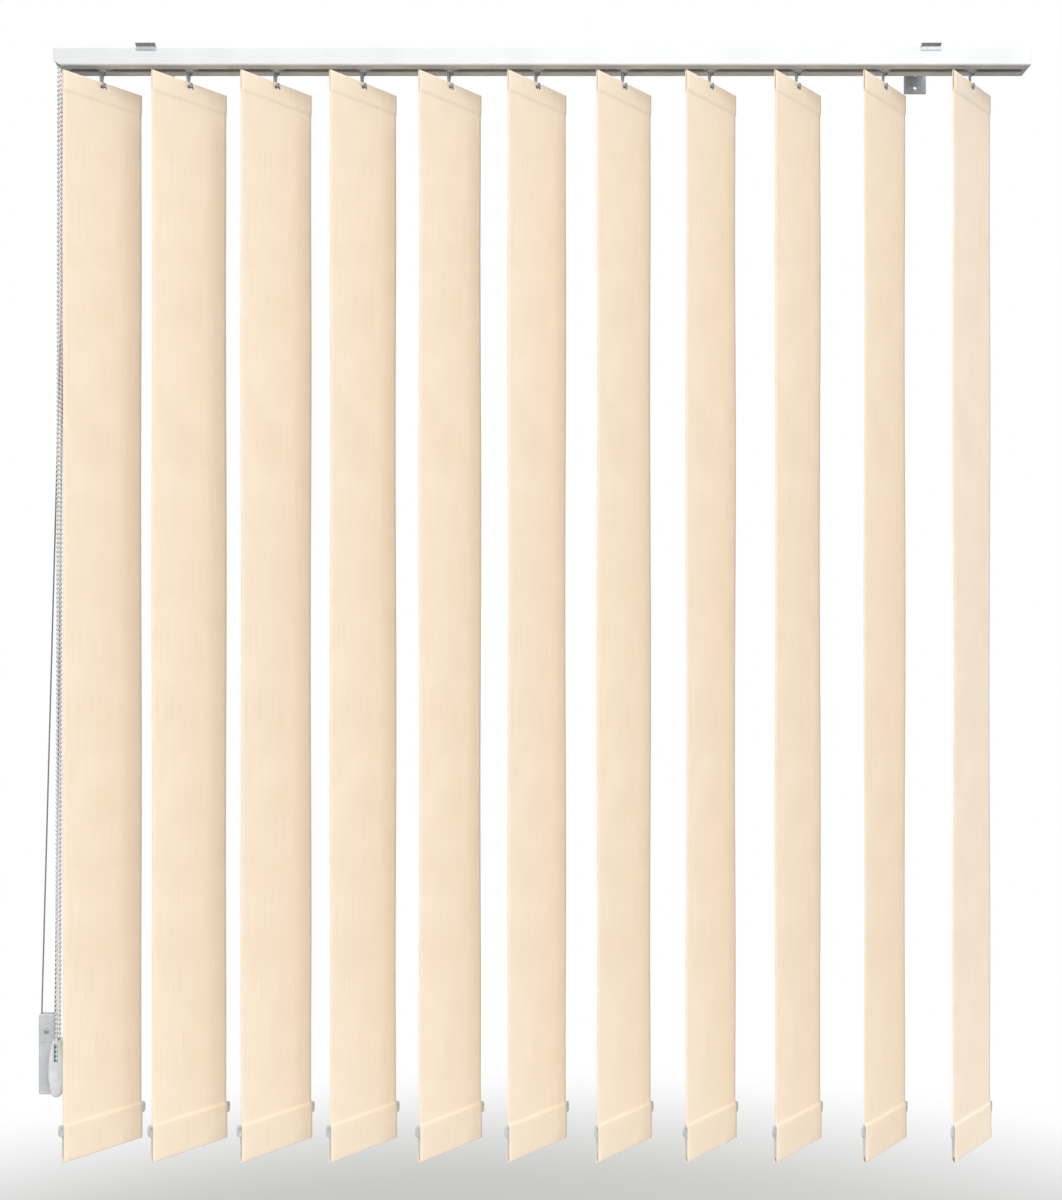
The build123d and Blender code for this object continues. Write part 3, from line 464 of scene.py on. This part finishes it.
def hook_form(place):
    """A flat bar that starts as wide as its collar, narrows, and bends round under the hanger.

    Its line is straight runs and two quarter circles: the leg goes down the side of the slat that
    faces the wall, and the tip comes out through the slit."""
    quarter = np.linspace(0, pi / 2, 5)
    shoulder = np.array([[0, collar_top - 1.5 * mm], [0.5 * bar_out, collar_top - 2.6 * mm]])
    leg = np.array([[bar_out, collar_top - h * mm] for h in (4.6, 7, 9.5, 12, 14, 16)])
    turn_z = hook_low + hook_corner
    out = bar_out - hook_corner * (1 - np.cos(quarter))
    down = turn_z - hook_corner * np.sin(quarter)
    first = np.stack([out, down], axis=1)
    second = np.stack([-out[::-1], down[::-1]], axis=1)
    tip = np.array([[-bar_out, turn_z + 2.5 * mm], [-bar_out - 0.2 * mm, turn_z + 4.0 * mm]])
    line = np.concatenate([shoulder, leg, first, second, tip])
    path = in_slat(np.zeros(len(line)), line[:, 0], line[:, 1], place)
    narrowing = len(shoulder) + len(leg)
    wide = np.full(len(line), 4.4 * mm)
    wide[:narrowing] = np.interp(line[:narrowing, 1], [slat_top, line[0, 1]], [4.6 * mm, 7.4 * mm])
    wide[-1] = 3.0 * mm
    deep = np.full(len(line), bar)
    deep[0] = 1.6 * bar
    deep[-1] = 0.5 * bar
    return swept(path, squared(2, 2, 4, 16), across, np.stack([wide / 2, deep / 2], axis=1))


def stem_form(place):
    """The stem as turned rings: its collar, its shaft, and a worm wheel with round teeth.

    Round the wheel, the radius is the root's plus a smooth step of a cosine, one for each tooth."""
    collar_z = collar_top + np.array([-2.0, -1.8, -0.2, 0, 0]) * mm
    wheel_z = wheel_middle + np.array([-2.0, -2.0, -1.7, 1.7, 2.0]) * mm
    shaft = np.array([3.8, 4.0, 4.0, 3.8, 2.5, 2.5]) * mm
    around = 8 * wheel_teeth
    tooth = rise(0.5 + 0.9 * np.cos(wheel_teeth * np.arange(around) * 2 * pi / around))
    wheel = (wheel_root + tooth_height * tooth) * np.array([0.95, 1, 1, 0.95])[:, None]
    radius = np.concatenate([np.repeat(shaft[:, None], around, axis=1), wheel])
    rings = np.empty((*radius.shape, 3))
    rings[..., :2] = radius[..., None] * circle(around) + (place.x, place.y)
    rings[..., 2] = np.concatenate([collar_z, wheel_z])[:, None]
    return rings


def holed_plate(outline, hole, thick, place):
    """A plate with a hole: the outline on one face, on the other, then the hole back through."""
    loops = np.stack([outline, outline, hole, hole])
    out = np.array([-1, 1, 1, -1])[:, None] * thick / 2 + np.zeros(loops.shape[:2])
    return in_slat(loops[..., 0], out, loops[..., 1], place)


def weight_form(place):
    """A thin bar with eased edges: its outline on four planes, the outer two 1 per cent smaller."""
    face = np.array([0.99, 1, 1, 0.99])[:, None, None] * weight_outline + (0, weight_middle)
    out = np.array([-1.5, -1.2, 1.2, 1.5])[:, None] * mm + np.zeros(face.shape[:2])
    return in_slat(face[..., 0], out, face[..., 1], place)


hanger_thick = 1.2 * mm
hanger_middle = slat_top - 11.8 * mm
hanger_outline = squared(121 * mm, 22 * mm, 12, 64) + (0, hanger_middle)
slit_middle = slat_top - slit_top - slit_height / 2
slit_outline = squared(2 * slit_half, slit_height, 8, 64) + (0, slit_middle)
weight_height = 41 * mm
weight_top = slat_bottom + 45 * mm
weight_middle = weight_top - weight_height / 2
weight_outline = squared(126.4 * mm, weight_height, 16, 64)
lug_thick = 2.6 * mm
lug_outline = squared(8 * mm, 15 * mm, 3, 24)
lug_middle = np.array([slat_width / 2 + 2 * mm, weight_top - 3.5 * mm])
lug_hole = circle(24) * 1.5 * mm
hole_from_middle = np.array([1 * mm, 2.5 * mm])

for i, place in enumerate(slat_places):
    number = f"{i + 1:02d}"
    hook = skin(f"hook_{number}", hook_form(place), darker_grey)
    stem = skin(f"hook_stem_{number}", stem_form(place), darker_grey)
    hanger_rings = holed_plate(hanger_outline, slit_outline, hanger_thick, place)
    hanger = skin(f"hanger_{number}", hanger_rings, darker_grey, closed=True)
    weight = skin(f"weight_{number}", weight_form(place), milky)
    lugs = []
    for end, side in (("near", (-1, 1)), ("far", (1, 1))):
        lug = lug_outline + lug_middle * side
        hole = lug_hole + (lug_middle + hole_from_middle) * side
        lug_rings = holed_plate(lug, hole, lug_thick, place)
        lugs.append(skin(f"weight_lug_{end}_{number}", lug_rings, milky, closed=True))
    for piece in (hook, stem, hanger, weight, *lugs):
        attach(piece, f"slat_{number}")
    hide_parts(f"slat_fittings_{number}")

# ---------------------------------------------------------------- headrail
# Extruded aluminium, 44 by 24 mm, powder coated white, with a slot along its underside.


def paint(node_names, finish):
    """Gives CAD nodes a finish of their own in every slot they have."""
    for name in node_names:
        for slot in nodes[name].material_slots:
            slot.material = finish


def powder_coat():
    """White polyester powder on aluminium: satin, with a faint orange peel 1.5 mm across."""
    made, tree, shader = new_finish("powder_coat", roughness=0.36)
    place = add(tree, "ShaderNodeTexCoord").outputs["Object"]
    ripples = {"Vector": place, "Scale": 1 / (1.5 * mm), "Detail": 1.0}
    clouds = {"Vector": place, "Scale": 1 / (80 * mm), "Detail": 2.0}
    peel = add(tree, "ShaderNodeTexNoise", ripples)
    cloud = add(tree, "ShaderNodeTexNoise", clouds)
    shade = add(tree, "ShaderNodeValToRGB", {"Fac": cloud.outputs["Fac"]})
    shade.color_ramp.elements[0].position = 0.3
    shade.color_ramp.elements[0].color = linear("#D4D5D6")
    shade.color_ramp.elements[1].position = 0.7
    shade.color_ramp.elements[1].color = linear("#DCDDDE")
    relief = {"Height": peel.outputs["Fac"], "Distance": 0.04 * mm, "Strength": 0.4}
    raised = add(tree, "ShaderNodeBump", relief)
    tree.links.new(shade.outputs["Color"], shader.inputs["Base Color"])
    tree.links.new(raised.outputs["Normal"], shader.inputs["Normal"])
    return made


paint(["headrail"], powder_coat())

# ---------------------------------------------------------------- control end and idle end
# Moulded ABS, white. The control end holds the sprocket and the head pulleys, and its lower corner
# is bevelled where the chain comes out.


def white_moulding():
    """White ABS from a finely eroded mould: a soft gloss over grain 0.8 mm across."""
    made, tree, shader = new_finish("white_abs", roughness=0.3, ior=1.53)
    place = add(tree, "ShaderNodeTexCoord").outputs["Object"]
    grains = {"Vector": place, "Scale": 1 / (0.8 * mm), "Detail": 2.0}
    grain = add(tree, "ShaderNodeTexNoise", grains)
    shade = add(tree, "ShaderNodeValToRGB", {"Fac": grain.outputs["Fac"]})
    shade.color_ramp.elements[0].color = linear("#D0D1D2")
    shade.color_ramp.elements[1].color = linear("#DBDCDD")
    relief = {"Height": grain.outputs["Fac"], "Distance": 0.03 * mm, "Strength": 0.4}
    raised = add(tree, "ShaderNodeBump", relief)
    tree.links.new(shade.outputs["Color"], shader.inputs["Base Color"])
    tree.links.new(raised.outputs["Normal"], shader.inputs["Normal"])
    return made


paint(["control_end_housing", "idle_end_cap"], white_moulding())

# ---------------------------------------------------------------- wall brackets and clips
# Folded steel, zinc plated, with a spring clip under each that grips the headrail's top edges.


def zinc_plate():
    """Dull zinc on steel: a cool grey metal with a cloudy spangle 5 mm across."""
    made, tree, shader = new_finish("zinc_plate", metallic=1.0)
    place = add(tree, "ShaderNodeTexCoord").outputs["Object"]
    crystals = {"Vector": place, "Scale": 1 / (5 * mm)}
    clouds = {"Vector": place, "Scale": 1 / (3 * mm), "Detail": 3.0}
    spangle = add(tree, "ShaderNodeTexVoronoi", crystals, feature="SMOOTH_F1")
    cloud = add(tree, "ShaderNodeTexNoise", clouds)
    shade = add(tree, "ShaderNodeValToRGB", {"Fac": spangle.outputs["Distance"]})
    shade.color_ramp.elements[0].color = linear("#9FA3A7")
    shade.color_ramp.elements[1].color = linear("#B4B7BB")
    dullness = {"Value": cloud.outputs["Fac"], "To Min": 0.48, "To Max": 0.62}
    rough = add(tree, "ShaderNodeMapRange", dullness)
    tree.links.new(shade.outputs["Color"], shader.inputs["Base Color"])
    tree.links.new(rough.outputs["Result"], shader.inputs["Roughness"])
    return made


zinc = zinc_plate()
paint(["wall_brackets", "spring_clips"], zinc)

# ---------------------------------------------------------------- carriers, worms and pulleys
# Moulded acetal. The carriers run in the headrail, each with a worm that turns its hook, and the
# cord runs round the pulleys at both ends.


def acetal():
    """Acetal: pale grey, waxy and slightly glossy, with faint flow marks 20 mm long."""
    made, tree, shader = new_finish("acetal", roughness=0.33, ior=1.48)
    place = add(tree, "ShaderNodeTexCoord").outputs["Object"]
    swirls = {"Vector": place, "Scale": 1 / (20 * mm), "Distortion": 1.0}
    flow = add(tree, "ShaderNodeTexNoise", swirls)
    shade = add(tree, "ShaderNodeValToRGB", {"Fac": flow.outputs["Fac"]})
    shade.color_ramp.elements[0].position = 0.3
    shade.color_ramp.elements[0].color = linear("#D4D6D7")
    shade.color_ramp.elements[1].position = 0.7
    shade.color_ramp.elements[1].color = linear("#E2E4E5")
    tree.links.new(shade.outputs["Color"], shader.inputs["Base Color"])
    return made


running_gear = [f"{kind}_{i + 1:02d}" for kind in ("carrier", "worm") for i in range(slat_count)]
pulleys = ["head_pulley_near", "head_pulley_far", "idle_pulley", "cord_weight_pulley"]
paint([*running_gear, *pulleys, "chain_sprocket"], acetal())
paint(["draw_cord_in_rail"], cord_finish)

# ---------------------------------------------------------------- tilt rod
# Extruded aluminium, left as it comes from the die.


def mill_aluminium():
    """Mill finish aluminium: bright metal with fine die lines along its length, 0.3 mm apart."""
    made, tree, shader = new_finish("mill_aluminium", metallic=1.0)
    place = add(tree, "ShaderNodeTexCoord").outputs["Object"]
    lines = (1 / (60 * mm), 1 / (0.3 * mm), 1 / (0.3 * mm))
    drawn = add(tree, "ShaderNodeMapping", {"Vector": place, "Scale": lines}).outputs["Vector"]
    streak = add(tree, "ShaderNodeTexNoise", {"Vector": drawn, "Scale": 1.0, "Detail": 2.0})
    shade = add(tree, "ShaderNodeValToRGB", {"Fac": streak.outputs["Fac"]})
    shade.color_ramp.elements[0].color = linear("#C8CACC")
    shade.color_ramp.elements[1].color = linear("#DEDFE1")
    dullness = {"Value": streak.outputs["Fac"], "To Min": 0.22, "To Max": 0.38}
    rough = add(tree, "ShaderNodeMapRange", dullness)
    tree.links.new(shade.outputs["Color"], shader.inputs["Base Color"])
    tree.links.new(rough.outputs["Result"], shader.inputs["Roughness"])
    return made


paint(["tilt_rod"], mill_aluminium())

# ---------------------------------------------------------------- cord weight and chain weight
# Two pale grey mouldings that keep the cord and the chain straight.


def weight_moulding(name, dark, light, roughness):
    """Pale grey polystyrene over a steel slug: smooth and glossy, a little cloudy 15 mm across."""
    made, tree, shader = new_finish(name, roughness=roughness)
    place = add(tree, "ShaderNodeTexCoord").outputs["Object"]
    clouds = {"Vector": place, "Scale": 1 / (15 * mm), "Detail": 2.0}
    cloud = add(tree, "ShaderNodeTexNoise", clouds)
    shade = add(tree, "ShaderNodeValToRGB", {"Fac": cloud.outputs["Fac"]})
    shade.color_ramp.elements[0].position = 0.3
    shade.color_ramp.elements[0].color = linear(dark)
    shade.color_ramp.elements[1].position = 0.7
    shade.color_ramp.elements[1].color = linear(light)
    tree.links.new(shade.outputs["Color"], shader.inputs["Base Color"])
    return made


paint(["cord_weight"], weight_moulding("cord_weight_polystyrene", "#BDC0C2", "#C9CCCE", 0.35))
paint(["chain_weight"], weight_moulding("chain_weight_polystyrene", "#D2D5D7", "#DFE1E3", 0.22))

# ---------------------------------------------------------------- rivet head of the cord weight
# A low domed steel cap on the front end of the pin that carries the cord weight's pulley. It is
# turned, zinc plated, and pressed on.
pulley_low, pulley_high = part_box("cord_weight_pulley")
pin_middle = (pulley_low + pulley_high) / 2
cap_radius = np.array([3.7, 3.7, 3.5, 2.6, 1.2]) * mm
cap_height = np.array([-0.2, 0.2, 0.7, 1.15, 1.3]) * mm
cap_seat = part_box("cord_weight")[0].y + 0.8 * mm
cap_rings = cap_radius[:, None, None] * circle(24)
rivet_rings = np.stack(
    [
        pin_middle.x + cap_rings[..., 0],
        np.broadcast_to((cap_seat - cap_height)[:, None], cap_rings.shape[:2]),
        pin_middle.z + cap_rings[..., 1],
    ],
    axis=-1,
)
rivet = skin("cord_weight_rivet", rivet_rings, zinc)
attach(rivet, "root")

# ---------------------------------------------------------------- floor, lamps and sky
# A round pale floor that thins out to nothing at its rim, two large soft lamps, and a sky that the
# camera sees as plain white but that lights the blind less from below, as a room does.
floor_drop = 600 * mm  # under the slats
floor_radius = 2.6  # metres


def pale_floor():
    """Matt pale grey floor that turns clear from half way out to its rim."""
    made, tree, shader = new_finish("pale_floor", roughness=0.9)
    shader.inputs["Base Color"].default_value = linear("#BEBEBD")
    place = add(tree, "ShaderNodeTexCoord").outputs["Object"]
    reach = add(tree, "ShaderNodeVectorMath", {0: place}, operation="LENGTH")
    fade = add(
        tree,
        "ShaderNodeMapRange",
        {
            "Value": reach.outputs["Value"],
            "From Min": 0.55 * floor_radius,
            "From Max": 0.98 * floor_radius,
            "To Min": 1.0,
            "To Max": 0.0,
        },
        interpolation_type="SMOOTHSTEP",
    )
    tree.links.new(fade.outputs["Result"], shader.inputs["Alpha"])
    return made


floor_mesh = bpy.data.meshes.new("floor")
rim = np.pad(circle(96) * floor_radius, ((0, 0), (0, 1)))
floor_mesh.from_pydata(rim, [], [list(range(len(rim)))])
floor_mesh.materials.append(pale_floor())
floor = bpy.data.objects.new("floor", floor_mesh)
floor.location.z = slat_bottom - floor_drop
bpy.context.collection.objects.link(floor)


def lamp(name, place, target, size, power):
    """A square soft lamp that faces its target."""
    data = bpy.data.lights.new(name, "AREA")
    data.size = size
    data.energy = power
    made = bpy.data.objects.new(name, data)
    made.location = place
    aim = np.subtract(place, target)
    tip = np.arctan2(np.hypot(aim[0], aim[1]), aim[2])
    made.rotation_euler = (tip, 0, np.arctan2(aim[0], -aim[1]))
    bpy.context.collection.objects.link(made)


lamp("key", place=(0.9, -3.6, 0.9), target=(0, -0.07, -0.6), size=3.0, power=99)
lamp("fill", place=(-2.6, -3.0, 0.6), target=(0, -0.07, -0.7), size=2.5, power=12)

world = bpy.data.worlds.new("white_sky")
world.use_nodes = True
sky = world.node_tree
sky.nodes.clear()
white = (1.0, 1.0, 1.0, 1.0)
seen = add(sky, "ShaderNodeBackground", {"Color": white, "Strength": 1.0})
direction = add(sky, "ShaderNodeTexCoord").outputs["Generated"]
facing = add(sky, "ShaderNodeSeparateXYZ", {"Vector": direction})
# full light from a little above level, falling to next to none from 17 degrees below it
upward = add(
    sky,
    "ShaderNodeMapRange",
    {
        "Value": facing.outputs["Z"],
        "From Min": -0.3,
        "From Max": 0.15,
        "To Min": 0.04,
        "To Max": 1.06,
    },
)
light = add(sky, "ShaderNodeBackground", {"Color": white, "Strength": upward.outputs["Result"]})
choice = add(
    sky,
    "ShaderNodeMixShader",
    {
        0: add(sky, "ShaderNodeLightPath").outputs["Is Camera Ray"],
        1: light.outputs["Background"],
        2: seen.outputs["Background"],
    },
)
add(sky, "ShaderNodeOutputWorld", {"Surface": choice.outputs["Shader"]})
bpy.context.scene.world = world
bpy.context.scene.view_settings.view_transform = "Standard"
